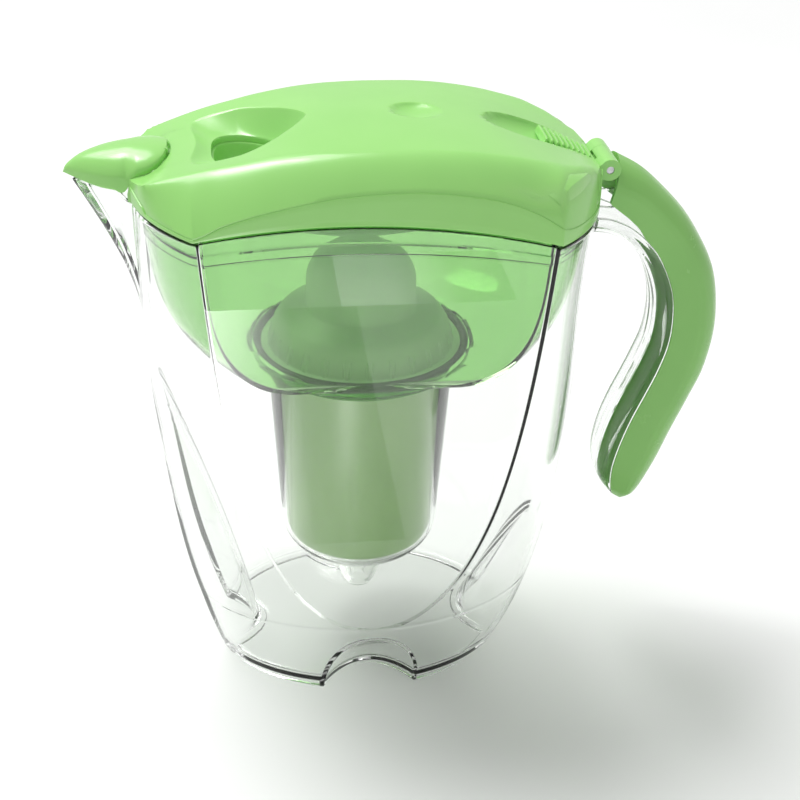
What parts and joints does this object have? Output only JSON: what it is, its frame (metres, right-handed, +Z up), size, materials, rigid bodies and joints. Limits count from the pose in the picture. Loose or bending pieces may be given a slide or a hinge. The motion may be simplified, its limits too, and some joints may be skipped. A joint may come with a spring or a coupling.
{
  "type": "water filter pitcher with flip lid",
  "caption": "Clear flared jug with a pointed spout, hook handle, lift-out green hopper with a drop-in filter cartridge, hinged dome lid and hinged spout cover.",
  "frame": {"origin": "centre of the jug's base, on the surface it stands on", "axes": "-X towards the spout tip, +X towards the handle, -Y out of the front panel, +Z up"},
  "size_m": [0.2682, 0.1064, 0.2486],
  "materials": {
    "clear_plastic": "clear, polished",
    "green_plastic": "opaque lime green, satin gloss",
    "green_translucent": "see-through green, polished",
    "pale_translucent": "milky pale green",
    "seal_rubber": "dark green grey elastomer",
    "steel": "plain pin",
    "screen_mesh": "fine woven mesh",
    "felt": "pressed felt",
    "charcoal": "packed grains",
    "mineral": "packed beads"
  },
  "bodies": {
    "jug": {"jug_body": "clear_plastic", "handle_core": "clear_plastic", "handle_cover": "green_plastic"},
    "hopper_group": {"hopper": "green_translucent", "seat_collar": "green_translucent", "hinge_bracket": "green_translucent", "lid_hinge_pin": "steel"},
    "lid": {"lid_shell": "green_plastic", "lid_hinge_block": "green_plastic", "fill_funnel": "green_plastic", "nose_hinge_block": "green_plastic", "spout_cover_pin": "steel"},
    "spout_cover_flap": {"spout_cover": "green_plastic"},
    "cartridge": {"cartridge_cap": "pale_translucent", "cartridge_o_ring": "seal_rubber", "cartridge_shell": "clear_plastic", "cartridge_cup": "green_translucent", "cartridge_nozzle": "clear_plastic", "upper_screen": "screen_mesh", "upper_felt_pad": "felt", "carbon_bed": "charcoal", "divider_pad": "felt", "mineral_bed": "mineral", "lower_felt_pad": "felt", "lower_screen": "screen_mesh"}
  },
  "joints": [
    {"name": "hopper_lift", "type": "slide", "parent": "jug", "child": "hopper_group", "axis": [0, 0, 1], "range_m": [0, 0.205]},
    {"name": "lid_flip", "type": "hinge", "parent": "hopper_group", "child": "lid", "pos_m": [0.097, 0, 0.226], "axis": [0, 1, 0], "range_deg": [0, 80]},
    {"name": "spout_flap", "type": "hinge", "parent": "lid", "child": "spout_cover_flap", "pos_m": [-0.0756, 0, 0.2344], "axis": [0, 1, 0], "range_deg": [0, 45]},
    {"name": "cartridge_lift", "type": "slide", "parent": "hopper_group", "child": "cartridge", "axis": [0, 0, 1], "range_m": [0, 0.03]}
  ]
}
